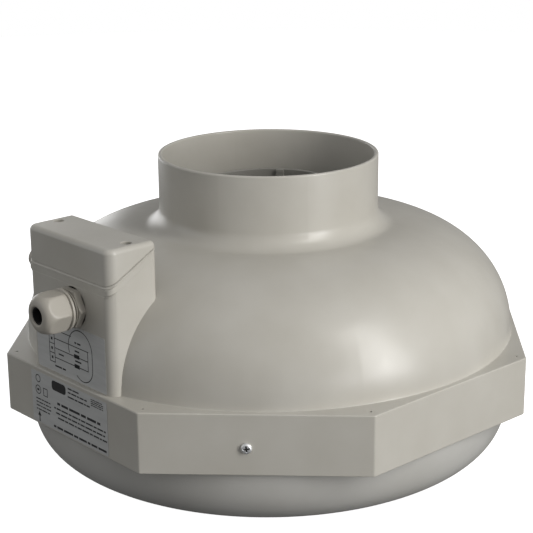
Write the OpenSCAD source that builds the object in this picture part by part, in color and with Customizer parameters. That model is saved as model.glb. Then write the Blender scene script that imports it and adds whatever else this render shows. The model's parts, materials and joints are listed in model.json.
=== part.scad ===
// In-line extractor fan for a 160 mm bathroom duct.
// +Z is the way the air flows. The origin is the centre of the inlet rim.
// The terminal box stands on the -Y flat of the octagonal skirt.

/* [Casing] */
// Outside diameter of both duct spigots
spigot_d = 158; // [156:0.5:160]
// Height from the inlet rim to the outlet rim
total_h = 248; // [246:1:256]
// Size of the octagonal skirt across its flats
across_flats = 361; // [360:0.5:364]
// Height of the skirt's flat top above the inlet rim
flange_z = 120; // [120:0.5:121]
// Depth of the skirt
skirt_h = 42; // [36:1:44]
// Wall thickness of the casing mouldings
wall = 3; // [2.5:0.1:3]
// Radial width of the bulge outside the neck radius
bulge_w = 88.8; // [88.5:0.1:89]
// Height of the dome above the skirt's top
dome_h = 76.9; // [76:0.1:78]
// Depth of the bowl below its upright wall
bowl_h = 75; // [74:0.5:76]

/* [Terminal box] */
// Width of the terminal box
box_w = 92; // [90:1:94]
// Height of the box's top above the inlet rim
box_top_z = 218.5; // [217:0.5:220]
// Wall thickness of the box and its lid
box_wall = 2.5; // [2:0.1:2.6]
// Height of the cable gland's axis above the inlet rim
gland_z = 173; // [172:0.5:174]
// Distance of the gland's axis from the middle of the box
gland_x = 6; // [4:0.5:8]

/* [Motor and impeller] */
// Outer radius of the impeller
impeller_r = 112; // [108:1:114]
// Number of impeller blades
blade_count = 9; // [7:1:11]
// Outer radius of the external rotor
rotor_r = 51; // [50.5:0.1:51.3]
// Number of stator slots
slot_count = 12; // [8:2:16]
// Number of guide vanes on the motor carrier
vane_count = 8; // [8:4:8]

/* [Hidden] */
$fn = 96;

// Colours
casing_grey = [0.72, 0.71, 0.68];
bowl_grey = [0.68, 0.68, 0.67];
gland_white = [0.86, 0.85, 0.82];
zinc = [0.78, 0.79, 0.80];
steel = [0.55, 0.56, 0.58];
copper = [0.72, 0.42, 0.22];
rubber_black = [0.10, 0.10, 0.10];
label_silver = [0.80, 0.80, 0.79];

// Casing
spigot_r = spigot_d / 2;
neck_r = 88;
neck_z = 200;
fillet_r = 12;
fillet_x = spigot_r + fillet_r;
dome_power = [2.16, 2.1];
bowl_power = [2.24, 4.93];
curve_steps = 40;
half_flats = across_flats / 2;
corner_angle = 22.5;
corner_round = 2.5;
skirt_z = flange_z - skirt_h;
rim_z = flange_z - 6;
bowl_wall_z = flange_z - 19.5;
bowl_floor_z = bowl_wall_z - bowl_h;
floor_in_z = bowl_floor_z + wall;
corner_hole_r = 1;
corner_hole_pitch_r = 188.1;
casing_screw_z = 97;
casing_screw_shift = 6;
side_count = 8;

// Inlet ring
throat_r = 63;
throat_top_z = 70;
bell_r = 29;
sheet_t = 2.5;
ring_seat_z = floor_in_z + 0.7;
bell_c = [throat_r + bell_r, ring_seat_z + bell_r];
inlet_flange_r = 108;
inlet_screw_r = 102;

// Levels of the motor and impeller along the axis
rotor_bottom_z = 80;
backplate_z = 118;
flange_disc_z = 130;
carrier_floor_z = 136;
hub_top_z = 224;
hub_r = 50;
hub_foot_r = 56;
hub_wall = 2.5;
vane_top_z = 172;
vane_shift = 12;
vane_t = 2.5;
ring_r = 141;
lug_r = 150;
lug_z = 142;
rib_angle = 37;
rib_w = 6;
shaft_r = 5;
bearing_r = 13;
bearing_w = 8;
bearing_z = [90, 127];
stator_r = 41;
tube_r = 15;
core_z = [88, 118];

// Terminal box
box_front_y = -177.2;
box_back_y = -139;
box_front_round = 7;
box_back_round = 3;
lid_edge_round = 3.5;
parting_front_z = 193.7;
parting_slope = 0.54;
seam = 0.3;
lip_h = 5.5;
lip_out = 0.5;
lid_screw_x = 37.5;
lid_screw_y = -156.3;
box_screw = [26, -146];
lead_x = -8;
lead_start_y = -28;
lead_hole_y = -148;
lead_z = carrier_floor_z + 16;
plug_pos = [-box_w / 2, -166, 192];

// ---------- shared shapes ----------

function arc(c, r, a0, a1, n) = [
    for (i = [0 : n])
        let (a = a0 + (a1 - a0) * i / n)
        c + r * [cos(a), sin(a)]
];

// Quarter of a superellipse, from its widest point to its top or bottom
function crown(w, h, power, inset) = [
    for (i = [0 : curve_steps])
        let (
            t = 90 * i / curve_steps,
            p = [neck_r + (w - inset) * pow(cos(t), 2 / power.x), (h - inset) * pow(sin(t), 2 / power.y)]
        )
        if (p.x > fillet_x + 0.5) p
];

// Solid of revolution inside the dome and the outlet spigot, set in by inset
module dome_solid(inset, over = 0) {
    crown_pts = [for (p = crown(bulge_w, dome_h, dome_power, inset)) [p.x, flange_z + p.y]];
    fillet = arc([fillet_x, flange_z + dome_h + fillet_r], fillet_r + inset, -90, -180, 9);
    rotate_extrude()
        polygon(concat(
            [[0, flange_z - over], [crown_pts[0].x, flange_z - over]],
            crown_pts,
            fillet,
            [[spigot_r - inset, total_h + over], [0, total_h + over]]
        ));
}

// Solid of revolution inside the bowl and the inlet spigot, set in by inset
module bowl_solid(inset, over = 0) {
    crown_pts = [for (p = crown(bulge_w, bowl_h, bowl_power, inset)) [p.x, bowl_wall_z - p.y]];
    fillet = arc([fillet_x, bowl_floor_z - fillet_r], fillet_r + inset, 90, 180, 9);
    rotate_extrude()
        polygon(concat(
            [[0, rim_z + over], [crown_pts[0].x, rim_z + over]],
            crown_pts,
            fillet,
            [[spigot_r - inset, -over], [0, -over]]
        ));
}

// Octagon with flats on the axes and its corners rounded
module octagon(apothem) {
    corner_c = (apothem - corner_round) / cos(corner_angle);
    polygon([
        for (k = [0 : side_count - 1])
            let (a = corner_angle + k * 45)
            each arc(corner_c * [cos(a), sin(a)], corner_round, a - corner_angle, a + corner_angle, 4)
    ]);
}

module tube(r_out, r_in, z0, z1) {
    translate([0, 0, z0])
        difference() {
            cylinder(r = r_out, h = z1 - z0);
            translate([0, 0, -1]) cylinder(r = r_in, h = z1 - z0 + 2);
        }
}

module rod(r, z0, z1) {
    translate([0, 0, z0]) cylinder(r = r, h = z1 - z0);
}

module around(count, r, a0 = 0) {
    for (k = [0 : count - 1])
        rotate(a0 + k * 360 / count) translate([r, 0, 0]) children();
}

// Screw with its head's underside at z = 0 and its shank downwards
module screw(head_r, head_h, shank_r, length) {
    difference() {
        union() {
            rotate_extrude()
                polygon(concat(
                    [[0, 0], [head_r, 0]],
                    arc([head_r - 1, head_h - 1], 1, 0, 90, 5),
                    [[0, head_h]]
                ));
            rod(shank_r, -length, 0.01);
        }
        for (a = [45, 135])
            rotate(a) translate([-head_r * 0.6, -0.4, head_h * 0.4]) cube([head_r * 1.2, 0.8, head_h]);
    }
}

// Along the outward normal of the skirt's flats that carry the casing screws
module at_casing_screws() {
    for (k = [0 : 3])
        rotate(-45 + k * 90)
            translate([0, -casing_screw_shift, casing_screw_z]) rotate([0, 90, 0]) children();
}

function smooth(p, i, t) =
    let (
        a = p[max(i - 1, 0)],
        b = p[i],
        c = p[i + 1],
        d = p[min(i + 2, len(p) - 1)]
    )
    0.5 * (2 * b + (c - a) * t + (2 * a - 5 * b + 4 * c - d) * t * t + (3 * b - 3 * c + d - a) * t * t * t);

function path(p, steps) = concat(
    [for (i = [0 : len(p) - 2]) for (k = [0 : steps - 1]) smooth(p, i, k / steps)],
    [p[len(p) - 1]]
);

// Round wire swept along a route that never runs along the given side direction
module wire(route, r, steps, side = [1, 0, 0]) {
    sides = 8;
    pts = path(route, steps);
    n = len(pts);
    rings = [
        for (i = [0 : n - 1])
            let (
                t = pts[min(i + 1, n - 1)] - pts[max(i - 1, 0)],
                u = cross(t, side) / norm(cross(t, side)),
                v = cross(u, t) / norm(t)
            )
            for (k = [0 : sides - 1]) pts[i] + r * (cos(360 * k / sides) * u + sin(360 * k / sides) * v)
    ];
    skin = [
        for (i = [0 : n - 2])
            for (k = [0 : sides - 1])
                let (m = (k + 1) % sides)
                [i * sides + k, i * sides + m, (i + 1) * sides + m, (i + 1) * sides + k]
    ];
    ends = [[for (k = [sides - 1 : -1 : 0]) k], [for (k = [0 : sides - 1]) (n - 1) * sides + k]];
    polyhedron(points = rings, faces = concat(skin, ends), convexity = 4);
}

// ---------- casing ----------

// Dome of the upper casing, from the skirt's top to the neck
module upper_casing() {
    color(casing_grey)
        difference() {
            union() {
                difference() {
                    dome_solid(0);
                    dome_solid(wall, 4);
                    rod(neck_r + bulge_w, neck_z, total_h + 1);
                }
                intersection() {
                    union() {
                        around(4, lug_r, 45) rod(5, lug_z, 180);
                        for (s = [-1, 1]) translate([s * box_screw.x, box_screw.y, 0]) rod(4, 164, 186);
                    }
                    dome_solid(0.5);
                }
            }
            around(4, lug_r, 45) rod(1.8, lug_z - 1, lug_z + 14);
            for (s = [-1, 1]) translate([s * box_screw.x, box_screw.y, 0]) rod(1.6, 160, 190);
            translate([lead_x, lead_hole_y, 0]) rod(4.6, 160, 190);
        }
}

// Octagonal skirt and its flat top, which the dome stands on
module casing_skirt() {
    color(casing_grey)
        difference() {
            translate([0, 0, skirt_z]) linear_extrude(skirt_h) octagon(half_flats);
            translate([0, 0, skirt_z - 1])
                linear_extrude(skirt_h - wall + 1) octagon(half_flats - wall);
            rod(neck_r + bulge_w - wall, skirt_z, flange_z + 1);
            around(side_count, corner_hole_pitch_r, corner_angle)
                rod(corner_hole_r, flange_z - 5, flange_z + 1);
            at_casing_screws() rod(2.2, half_flats - 6, half_flats + 1);
        }
}

// Straight spigot and its fillet, which meet the dome at the neck
module outlet_spigot() {
    color(casing_grey)
        difference() {
            dome_solid(0);
            dome_solid(wall, 4);
            rod(neck_r + bulge_w + 1, skirt_z, neck_z);
        }
}

module lower_casing() {
    color(bowl_grey)
        difference() {
            union() {
                difference() {
                    bowl_solid(0);
                    bowl_solid(wall, 1);
                }
                intersection() {
                    at_casing_screws() rod(5, 164, half_flats);
                    bowl_solid(0.5);
                }
                around(4, inlet_screw_r) rod(4, bowl_floor_z + 1, ring_seat_z);
            }
            at_casing_screws() rod(1.95, 160, half_flats);
            around(4, inlet_screw_r) rod(1.65, bowl_floor_z + 1.4, ring_seat_z + 1);
        }
}

module casing_seal() {
    color(rubber_black)
        tube(neck_r + bulge_w - 0.5, neck_r + bulge_w - wall + 0.5, rim_z, flange_z - wall);
}

module casing_screws() {
    color(zinc)
        at_casing_screws() translate([0, 0, half_flats]) screw(3.6, 2.2, 1.9, 16);
}

// Bell mouth that guides the air into the impeller's eye
module inlet_ring() {
    color([0.25, 0.26, 0.27])
        difference() {
            rotate_extrude()
                polygon(concat(
                    [[inlet_flange_r, ring_seat_z]],
                    arc(bell_c, bell_r, -90, -180, 12),
                    [[throat_r, throat_top_z], [throat_r + sheet_t, throat_top_z]],
                    arc(bell_c, bell_r - sheet_t, -180, -90, 12),
                    [[inlet_flange_r, ring_seat_z + sheet_t]]
                ));
            around(4, inlet_screw_r) rod(1.8, ring_seat_z - 1, ring_seat_z + 5);
        }
}

module inlet_ring_screws() {
    color(zinc)
        around(4, inlet_screw_r) translate([0, 0, ring_seat_z + sheet_t]) screw(3, 1.8, 1.6, 4.2);
}

// ---------- motor carrier ----------

// Open cup in the outlet that holds the motor, with guide vanes and a foot ring
module motor_carrier() {
    color([0.30, 0.31, 0.32])
        difference() {
            union() {
                rotate_extrude()
                    polygon(concat(
                        [[20, carrier_floor_z], [hub_foot_r, carrier_floor_z]],
                        [[hub_foot_r, carrier_floor_z + 8]],
                        arc([hub_foot_r + 24, carrier_floor_z + 24], 30, 200, 180, 3),
                        [[hub_r, hub_top_z], [hub_r - hub_wall, hub_top_z]],
                        [[hub_r - hub_wall, carrier_floor_z + 3], [20, carrier_floor_z + 3]]
                    ));
                difference() {
                    for (k = [0 : vane_count - 1])
                        rotate(-90 + k * 360 / vane_count)
                            translate([hub_r - 4, vane_shift, carrier_floor_z + 2])
                                cube([ring_r - hub_r + 2, vane_t, vane_top_z - carrier_floor_z - 2]);
                    rod(hub_r - 1, carrier_floor_z, vane_top_z + 1);
                    tube(ring_r + 40, ring_r - 0.5, carrier_floor_z, vane_top_z + 1);
                }
                tube(ring_r, ring_r - sheet_t, carrier_floor_z + 2, carrier_floor_z + 10);
                difference() {
                    around(4, lug_r, 45) union() {
                        rod(8, lug_z - 4, lug_z);
                        translate([-12, -8, lug_z - 4]) cube([12, 16, 4]);
                    }
                    rod(ring_r - 1, lug_z - 5, lug_z + 1);
                }
                around(4, hub_r - hub_wall - 3, rib_angle)
                    translate([0, -rib_w / 2, carrier_floor_z])
                        cube([3.6, rib_w, hub_top_z - carrier_floor_z]);
            }
            around(4, 33, 45) rod(2.2, carrier_floor_z - 1, carrier_floor_z + 5);
            around(4, lug_r, 45) rod(2.2, lug_z - 5, lug_z + 1);
            translate([lead_x, lead_start_y, 0]) rod(3.5, carrier_floor_z - 1, carrier_floor_z + 5);
            translate([lead_x, 0, lead_z]) rotate([90, 0, 0]) rod(4, 38, 62);
        }
}

module carrier_screws() {
    color(zinc)
        around(4, lug_r, 45) translate([0, 0, lug_z - 4]) mirror([0, 0, 1]) screw(4, 2.4, 1.75, 14);
}

// ---------- motor ----------

// Cast stator flange with the bearing tube that passes through the rotor
module motor_flange() {
    color([0.70, 0.71, 0.72])
        difference() {
            union() {
                rod(46, flange_disc_z, carrier_floor_z);
                rod(tube_r, core_z[0], carrier_floor_z + 4);
                tube(44, 24, flange_disc_z - 2, flange_disc_z + 1);
            }
            rod(bearing_r + 0.02, core_z[0] - 1, bearing_z[0] + bearing_w);
            rod(11.5, core_z[0] - 1, carrier_floor_z + 5);
            rod(bearing_r + 0.02, bearing_z[1] - 1, carrier_floor_z + 5);
            around(4, 33, 45) rod(1.8, flange_disc_z - 3, carrier_floor_z + 1);
            translate([lead_x, lead_start_y, 0]) rod(3.5, flange_disc_z - 3, carrier_floor_z + 1);
        }
}

module motor_screws() {
    color(zinc)
        around(4, 33, 45) translate([0, 0, carrier_floor_z + 3]) screw(3.8, 2.4, 1.75, 8);
}

module stator_core() {
    color([0.42, 0.43, 0.46])
        difference() {
            tube(stator_r, tube_r + 0.02, core_z[0], core_z[1]);
            for (k = [0 : slot_count - 1])
                rotate(k * 360 / slot_count) {
                    translate([27, 0, 0]) rod(4, core_z[0] - 1, core_z[1] + 1);
                    translate([33, 0, 0]) rod(5, core_z[0] - 1, core_z[1] + 1);
                    translate([33, -1, core_z[0] - 1]) cube([12, 2, core_z[1] - core_z[0] + 2]);
                }
        }
}

// Coil ends above and below the core, with the coil sides in the slots
module stator_windings() {
    color(copper)
        union() {
            for (z = [core_z[0] - 4.5, core_z[1] + 0.2])
                rotate_extrude()
                    polygon(concat(
                        arc([24.5, z + 1.5], 1.5, 180, 270, 4),
                        arc([36.5, z + 1.5], 1.5, 270, 360, 4),
                        arc([36.5, z + 2.8], 1.5, 0, 90, 4),
                        arc([24.5, z + 2.8], 1.5, 90, 180, 4)
                    ));
            around(slot_count, 27) rod(3.8, core_z[0] - 2, core_z[1] + 2);
            around(slot_count, 33) rod(4.8, core_z[0] - 2, core_z[1] + 2);
        }
}

module bearing_outer_rings() {
    color(steel)
        for (z = bearing_z) tube(bearing_r, 11.3, z, z + bearing_w);
}

module bearing_inner_rings() {
    color(steel)
        for (z = bearing_z) tube(6.7, shaft_r + 0.02, z, z + bearing_w);
}

// Both ball sets, each with the thin cage that spaces its balls
module bearing_balls() {
    color(zinc)
        for (z = bearing_z)
            translate([0, 0, z + bearing_w / 2]) {
                tube(9.7, 8.3, -1, 1);
                around(7, 9) sphere(r = 2.15, $fn = 32);
            }
}

module preload_washer() {
    color(steel)
        tube(12.8, 9.5, bearing_z[1] + bearing_w + 0.02, bearing_z[1] + bearing_w + 1);
}

module motor_shaft() {
    color(zinc)
        difference() {
            rod(shaft_r, rotor_bottom_z + 0.5, 142);
            tube(shaft_r + 1, shaft_r - 0.5, 138, 139.1);
        }
}

module shaft_retaining_ring() {
    color(steel)
        difference() {
            tube(8, shaft_r - 0.48, 138.02, 139.08);
            translate([0, -1.2, 137]) cube([10, 2.4, 4]);
        }
}

// Deep cup that turns outside the stator, open towards the motor flange
module rotor_shell() {
    color([0.18, 0.19, 0.20])
        difference() {
            rotate_extrude()
                polygon(concat(
                    [[shaft_r + 0.02, rotor_bottom_z]],
                    arc([rotor_r - 5, rotor_bottom_z + 5], 5, -90, 0, 6),
                    [[rotor_r, backplate_z + 3.02], [62, backplate_z + 3.02], [62, backplate_z + 5]],
                    [[rotor_r - 2, backplate_z + 5]],
                    arc([rotor_r - 5, rotor_bottom_z + 5], 3, 0, -90, 6),
                    [[10, rotor_bottom_z + 2], [10, 88.5], [shaft_r + 0.02, 88.5]]
                ));
            around(6, 57) rod(1.8, backplate_z + 2, backplate_z + 6);
        }
}

module rotor_core() {
    color([0.45, 0.46, 0.48])
        tube(rotor_r - 2, stator_r + 0.5, core_z[0], core_z[1]);
}

// ---------- impeller ----------

shroud_c = [82, 70];
shroud_turn = 14;
shroud_slope = 20;
shroud_t = 2;
eye_z = 64;
shroud_knee = shroud_c + shroud_turn * [cos(90 + shroud_slope), sin(90 + shroud_slope)];
shroud_out_z = shroud_knee.y + (impeller_r - shroud_knee.x) * tan(shroud_slope);
blade_r = 70;
blade_c = 72;
blade_in_r = 70;
blade_t = 2;

function blade_angle(r) = acos((r * r - blade_c * blade_c - blade_r * blade_r) / (2 * blade_c * blade_r));

// Surface of the shroud that faces the blades, from the eye to the rim
function shroud_line(up) = concat(
    [[shroud_c.x - shroud_turn - up, eye_z]],
    arc(shroud_c, shroud_turn + up, 180, 90 + shroud_slope, 7),
    [[impeller_r, shroud_out_z + up / cos(shroud_slope)]]
);

function backwards(p) = [for (i = [len(p) - 1 : -1 : 0]) p[i]];

// Back plate with the backward-curved blades moulded on it
module impeller() {
    blade_tip = blade_angle(impeller_r - 0.5);
    color([0.14, 0.15, 0.16])
        difference() {
            union() {
                tube(impeller_r, rotor_r + 0.3, backplate_z, backplate_z + 3);
                difference() {
                    for (k = [0 : blade_count - 1])
                        rotate(k * 360 / blade_count) translate([blade_c, 0, 0]) rotate(blade_tip)
                            rotate_extrude(angle = blade_angle(blade_in_r) - blade_tip)
                                translate([blade_r - blade_t / 2, eye_z])
                                    square([blade_t, backplate_z - eye_z + 0.5]);
                    rotate_extrude()
                        polygon(concat(
                            [[0, eye_z - 1], [0, eye_z]],
                            shroud_line(0.05),
                            [[impeller_r + 3, eye_z - 1]]
                        ));
                    tube(impeller_r + 8, impeller_r, eye_z - 2, backplate_z + 1);
                }
            }
            around(6, 57) rod(1.7, backplate_z - 1, backplate_z + 4);
        }
}

module impeller_shroud() {
    color([0.14, 0.15, 0.16])
        rotate_extrude()
            polygon(concat(shroud_line(0), backwards(shroud_line(-shroud_t))));
}

module impeller_screws() {
    color(zinc)
        around(6, 57) translate([0, 0, backplate_z + 5]) screw(3, 1.8, 1.65, 8);
}

module balance_clip() {
    color(steel)
        rotate(20)
            difference() {
                translate([impeller_r - 8, -4, backplate_z - 1]) cube([9, 8, 5]);
                rod(impeller_r + 0.05, backplate_z - 0.05, backplate_z + 3.05);
            }
}

// ---------- terminal box ----------

function box_path(inset) =
    let (
        x = box_w / 2 - inset,
        y0 = box_front_y + inset,
        y1 = box_back_y - inset,
        rf = max(box_front_round - inset, 1),
        rb = max(box_back_round - inset, 1)
    )
    concat(
        arc([x - rf, y0 + rf], rf, -90, 0, 6),
        arc([x - rb, y1 - rb], rb, 0, 90, 6),
        arc([-x + rb, y1 - rb], rb, 90, 180, 6),
        arc([-x + rf, y0 + rf], rf, 180, 270, 6)
    );

module box_block(inset, z0, z1) {
    translate([0, 0, z0]) linear_extrude(z1 - z0) polygon(box_path(inset));
}

// Everything between two planes that are parallel to the sloping joint of the lid
module parting_slab(low, high) {
    y0 = box_front_y - 5;
    y1 = box_back_y + 5;
    z0 = parting_front_z - 5 * parting_slope;
    z1 = parting_front_z + (y1 - box_front_y) * parting_slope;
    rotate([90, 0, 90]) translate([0, 0, -box_w])
        linear_extrude(2 * box_w)
            polygon([[y0, z0 + low], [y1, z1 + low], [y1, z1 + high], [y0, z0 + high]]);
}

module at_lid_screws() {
    for (s = [-1, 1]) translate([s * lid_screw_x, lid_screw_y, 0]) children();
}

module in_gland() {
    translate([gland_x, box_front_y, gland_z]) rotate([90, 0, 0]) children();
}

module in_plug() {
    translate(plug_pos) rotate([0, -90, 0]) children();
}

// Base of the box, whose back is a saddle that fits the dome
module terminal_box() {
    floor_z = flange_z + box_wall;
    color(casing_grey)
        difference() {
            union() {
                difference() {
                    intersection() {
                        union() {
                            box_block(0, flange_z, box_top_z);
                            intersection() {
                                box_block(-lip_out, flange_z, box_top_z);
                                parting_slab(-lip_h, 0);
                            }
                        }
                        parting_slab(-200, 0);
                    }
                    difference() {
                        box_block(box_wall, floor_z, box_top_z + 1);
                        dome_solid(-box_wall);
                    }
                }
                intersection() {
                    union() {
                        at_lid_screws() rod(5.2, floor_z, box_top_z);
                        translate([-30, -169, floor_z]) cube([24, 12, 190 - floor_z]);
                        for (s = [-1, 1]) translate([s * box_screw.x, box_screw.y, 0]) rod(4.5, 176, 187);
                        translate([10, -161, floor_z]) cube([10, 8, 188 - floor_z]);
                    }
                    box_block(1, flange_z, box_top_z);
                    parting_slab(-200, -0.4);
                }
            }
            dome_solid(-0.03);
            at_lid_screws() rod(2.1, 180, box_top_z);
            for (s = [-1, 1]) translate([s * box_screw.x, box_screw.y, 0]) rod(1.9, 165, 190);
            translate([lead_x, lead_hole_y, 0]) rod(4.6, 160, 192);
            in_gland() rod(10.1, -9.5, 1);
            in_plug() rod(4.1, -4.5, 1);
            in_plug() rod(7.3, 0, 2);
        }
}

module box_screws() {
    color(zinc)
        for (s = [-1, 1]) translate([s * box_screw.x, box_screw.y, 187]) screw(3.2, 2, 1.55, 20);
}

// Profile of the lid's rounded top edge, seen along one of its sides
module crowned_profile(a0, a1) {
    polygon(concat(
        [[a0, flange_z], [a1, flange_z]],
        arc([a1 - lid_edge_round, box_top_z - lid_edge_round], lid_edge_round, 0, 90, 6),
        arc([a0 + lid_edge_round, box_top_z - lid_edge_round], lid_edge_round, 90, 180, 6)
    ));
}

module box_lid() {
    color(casing_grey)
        difference() {
            union() {
                difference() {
                    intersection() {
                        box_block(0, flange_z, box_top_z);
                        parting_slab(seam, 60);
                        rotate([90, 0, 0]) translate([0, 0, 100]) linear_extrude(100)
                            crowned_profile(-box_w / 2, box_w / 2);
                        rotate([90, 0, 90]) translate([0, 0, -60]) linear_extrude(120)
                            crowned_profile(box_front_y, box_back_y);
                    }
                    box_block(box_wall, flange_z, box_top_z - box_wall);
                }
                intersection() {
                    at_lid_screws() rod(5.5, flange_z, box_top_z - 1);
                    parting_slab(seam, 60);
                }
            }
            at_lid_screws() rod(3.5, 211, box_top_z + 1);
            at_lid_screws() rod(2.1, 190, box_top_z + 1);
            intersection() {
                difference() {
                    box_block(0.8, flange_z, box_top_z);
                    box_block(1.8, flange_z - 1, box_top_z + 1);
                }
                parting_slab(-1, 1.5);
            }
        }
}

module lid_screws() {
    color(zinc)
        at_lid_screws() translate([0, 0, 211]) screw(3.2, 2, 1.75, 24);
}

module lid_gasket() {
    color(rubber_black)
        intersection() {
            difference() {
                box_block(0.85, flange_z, box_top_z);
                box_block(1.75, flange_z - 1, box_top_z + 1);
            }
            parting_slab(seam, 1.45);
        }
}

// ---------- inside the terminal box ----------

block_size = [24, 12, 13];
block_at = [-30, -169, 190];
pole_count = 4;

module at_poles() {
    pitch = block_size.x / pole_count;
    for (k = [0 : pole_count - 1])
        translate([block_at.x + pitch * (k + 0.5), block_at.y + block_size.y / 2, block_at.z + block_size.z])
            children();
}

module terminal_block() {
    color([0.90, 0.90, 0.86])
        difference() {
            translate(block_at) cube(block_size);
            at_poles() rod(2.1, -5, 1);
            at_poles() translate([0, block_size.y, -9]) rotate([90, 0, 0]) rod(1.6, -1, block_size.y * 2 + 1);
            for (k = [1 : pole_count - 1])
                translate([block_at.x + k * block_size.x / pole_count - 0.4, block_at.y - 1, block_at.z + 8])
                    cube([0.8, block_size.y + 2, 6]);
        }
}

module terminal_screws() {
    color([0.80, 0.66, 0.34])
        at_poles() translate([0, 0, -3]) difference() {
            rod(2, -1.9, 1.6);
            translate([-2.5, -0.35, 0.8]) cube([5, 0.7, 2]);
        }
}

capacitor_r = 11;
capacitor_x = [0, 31];
capacitor_at = [-157, 201];

module in_capacitor() {
    translate([0, capacitor_at.x, capacitor_at.y]) rotate([0, 90, 0]) children();
}

module capacitor() {
    color([0.88, 0.88, 0.86])
        in_capacitor() union() {
            rotate_extrude()
                polygon(concat(
                    [[0, capacitor_x[0]]],
                    arc([capacitor_r - 1.5, capacitor_x[0] + 1.5], 1.5, -90, 0, 5),
                    arc([capacitor_r - 1.5, capacitor_x[1] - 1.5], 1.5, 0, 90, 5),
                    [[0, capacitor_x[1]]]
                ));
            for (y = [-3.5, 3.5]) translate([0, y, 0]) rod(1.4, capacitor_x[0] - 2.5, capacitor_x[0] + 0.5);
        }
}

module capacitor_clip() {
    clip_x = 15;
    color(steel)
        union() {
            difference() {
                in_capacitor() tube(capacitor_r + 1, capacitor_r + 0.03, clip_x - 3, clip_x + 3);
                translate([0, capacitor_at.x - 8, capacitor_at.y + 8]) cube([40, 16, 8]);
            }
            translate([clip_x - 3, capacitor_at.x - 3, 188]) cube([6, 6, 1.9]);
        }
}

// ---------- cable gland ----------

hex_flats = 25;
hex_r = hex_flats / 2 / cos(30);

module gland_body() {
    color(gland_white)
        in_gland() difference() {
            union() {
                cylinder(r = hex_r, h = 5, $fn = 6);
                rod(12, 4.9, 6);
                rod(9.9, -8, 16);
            }
            rod(6.5, -9, 17);
            rod(8, 9, 17);
        }
}

module gland_locknut() {
    color(gland_white)
        in_gland() difference() {
            translate([0, 0, -box_wall - 4.5]) cylinder(r = 13.5, h = 4.4, $fn = 6);
            rod(10, -8, 0);
        }
}

module gland_washer() {
    color(rubber_black)
        in_gland() tube(11, 9.95, 6.05, 7.2);
}

module gland_seal() {
    color(rubber_black)
        in_gland() tube(7.9, 5.25, 9.05, 24);
}

module gland_nut() {
    mouth = 29;
    color(gland_white)
        in_gland() difference() {
            intersection() {
                translate([0, 0, 8]) cylinder(r = hex_r, h = mouth - 8, $fn = 6);
                rotate_extrude()
                    polygon(concat(
                        [[0, 8], [13.4, 8], [14.2, 9]],
                        [for (a = [0 : 15 : 90]) [8.2 + 6 * cos(a), mouth - 10 + 10 * sin(a)]],
                        [[0, mouth]]
                    ));
            }
            rod(10.25, 7, 19);
            rod(8.3, 18, 25.5);
            rod(5.9, 25, mouth + 1);
        }
}

module blanking_plug() {
    color(gland_white)
        in_plug() union() {
            rotate_extrude()
                polygon(concat([[0, 0.05], [7, 0.05], [7, 5]], arc([5, 5], 2, 0, 90, 5), [[0, 7]]));
            rod(4, -4, 0.1);
        }
}

// ---------- labels ----------

label_t = 0.25;

module wiring_label() {
    color(label_silver)
        translate([-39, box_front_y - label_t, flange_z + 0.5]) cube([78, label_t, 38.5]);
}

module rating_label() {
    color(label_silver)
        translate([-44, -half_flats - label_t, skirt_z + 1.5]) cube([87, label_t, 37.5]);
}

// ---------- internal wiring ----------

module motor_lead() {
    route = [
        [lead_x, lead_start_y, 123], [lead_x, lead_start_y, 134], [lead_x, -30, 144], [lead_x, -38, 151],
        [lead_x, -52, lead_z], [lead_x, -80, lead_z], [lead_x, -110, lead_z], [lead_x, -132, lead_z],
        [lead_x, -143, 155], [lead_x, lead_hole_y, 163], [lead_x, lead_hole_y, 171],
        [lead_x, lead_hole_y, 181], [lead_x, lead_hole_y, 190], [-10, -149.5, 195],
        [-14, -153, 197], [-15, -156, 197]
    ];
    color([0.12, 0.12, 0.13]) wire(route, 2.6, 4);
}

module lead_grommet() {
    color(rubber_black)
        translate([lead_x, lead_hole_y, 0]) union() {
            tube(4.55, 2.9, 171, 188);
            tube(6, 2.9, 187.5, 189);
        }
}

// Two wires from the capacitor's pins to the terminal block
module inner_wires() {
    color([0.15, 0.25, 0.55])
        for (s = [-1, 1])
            wire([
                [-2.8, -157 + 3.5 * s, 201], [-4.2, -157 + 3.5 * s, 201],
                [-5, -159 + 2 * s, 203.5 + s], [-5.2, -162 + 2 * s, 206 + s]
            ], 0.8, 5, [0, 0, 1]);
}

upper_casing();
casing_skirt();
outlet_spigot();
lower_casing();
casing_seal();
casing_screws();
inlet_ring();
inlet_ring_screws();
motor_carrier();
carrier_screws();
motor_flange();
motor_screws();
stator_core();
stator_windings();
bearing_outer_rings();
bearing_inner_rings();
bearing_balls();
preload_washer();
motor_shaft();
shaft_retaining_ring();
rotor_shell();
rotor_core();
impeller();
impeller_shroud();
impeller_screws();
balance_clip();
terminal_box();
box_screws();
box_lid();
lid_screws();
lid_gasket();
terminal_block();
terminal_screws();
capacitor();
capacitor_clip();
gland_body();
gland_locknut();
gland_washer();
gland_seal();
gland_nut();
blanking_plug();
wiring_label();
rating_label();
motor_lead();
lead_grommet();
inner_wires();
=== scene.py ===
"""Visual model of an in-line duct extractor fan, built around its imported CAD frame.

A shape is a pair (vertices, faces) in millimetres, in the CAD's own frame: +Z is the way the
air flows and the origin is the centre of the inlet rim. piece() turns a shape into an object
in metres that rides on a CAD body and replaces the plain CAD nodes it stands for.
"""
import json
import math

import bmesh
import bpy
from mathutils import Matrix, Vector


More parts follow.
